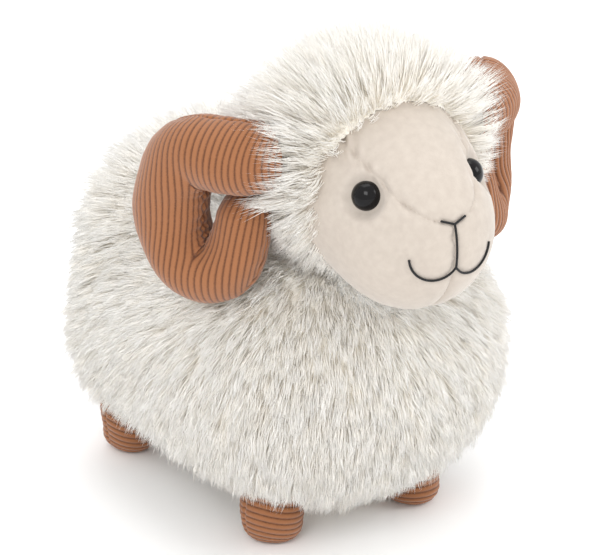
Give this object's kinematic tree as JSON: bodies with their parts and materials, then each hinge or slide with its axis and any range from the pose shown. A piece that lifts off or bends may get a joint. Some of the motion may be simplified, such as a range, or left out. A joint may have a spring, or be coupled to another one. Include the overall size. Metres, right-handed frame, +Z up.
{
  "type": "plush ram",
  "caption": "Stuffed toy ram standing on four corduroy feet, with a long-pile body and hood, a velour face, two curled corduroy horns and black plastic eyes.",
  "frame": {"origin": "on the floor under the middle of the toy's own box, between its four feet", "axes": "+Z up; the face looks along -Y, so +Y runs to the rump; +X is the ram's own left"},
  "size_m": [0.204, 0.2664, 0.257],
  "materials": {
    "pile_fabric": "long cream pile, matt with a soft sheen",
    "velour": "short-pile velour",
    "corduroy": "wide-wale corduroy",
    "fibre_filling": "loose polyester fibre",
    "black_plastic": "polished",
    "washer_plastic": "moulded",
    "black_thread": "embroidery thread with a slight sheen"
  },
  "bodies": {
    "body": {"body_filling": "fibre_filling", "body_fur_belly": "pile_fabric", "body_fur_left": "pile_fabric", "body_fur_right": "pile_fabric", "foot_front_left_cover": "corduroy", "foot_front_left_filling": "fibre_filling", "foot_front_right_cover": "corduroy", "foot_front_right_filling": "fibre_filling", "foot_rear_left_cover": "corduroy", "foot_rear_left_filling": "fibre_filling", "foot_rear_right_cover": "corduroy", "foot_rear_right_filling": "fibre_filling"},
    "neck": {"neck_filling": "fibre_filling"},
    "head": {"eye_left": "black_plastic", "eye_right": "black_plastic", "eye_washer_left": "washer_plastic", "eye_washer_right": "washer_plastic", "face_cheek_left": "velour", "face_cheek_right": "velour", "face_forehead": "velour", "head_filling": "fibre_filling", "hood_fur_crown": "pile_fabric", "hood_fur_left": "pile_fabric", "hood_fur_right": "pile_fabric", "mouth_stitches": "black_thread", "nose_stitches": "black_thread"},
    "horn_left": {"horn_left_filling": "fibre_filling", "horn_left_inner_panel": "corduroy", "horn_left_outer_panel": "corduroy"},
    "horn_right": {"horn_right_filling": "fibre_filling", "horn_right_inner_panel": "corduroy", "horn_right_outer_panel": "corduroy"}
  },
  "joints": [
    {"name": "head_turn", "type": "hinge", "parent": "body", "child": "neck", "pos_m": [0, -0.056, 0.197], "axis": [0, 0, 1], "range_deg": [-8, 8], "stiffness_Nm_per_rad": 0.6},
    {"name": "head_nod", "type": "hinge", "parent": "neck", "child": "head", "pos_m": [0, -0.056, 0.197], "axis": [1, 0, 0], "range_deg": [-4, 6], "stiffness_Nm_per_rad": 0.6},
    {"name": "horn_left_sway", "type": "hinge", "parent": "head", "child": "horn_left", "pos_m": [0.0538, -0.054, 0.21], "axis": [0, -1, 0], "range_deg": [-2, 7], "stiffness_Nm_per_rad": 0.15},
    {"name": "horn_right_sway", "type": "hinge", "parent": "head", "child": "horn_right", "pos_m": [-0.0538, -0.054, 0.21], "axis": [0, 1, 0], "range_deg": [-2, 7], "stiffness_Nm_per_rad": 0.15}
  ]
}
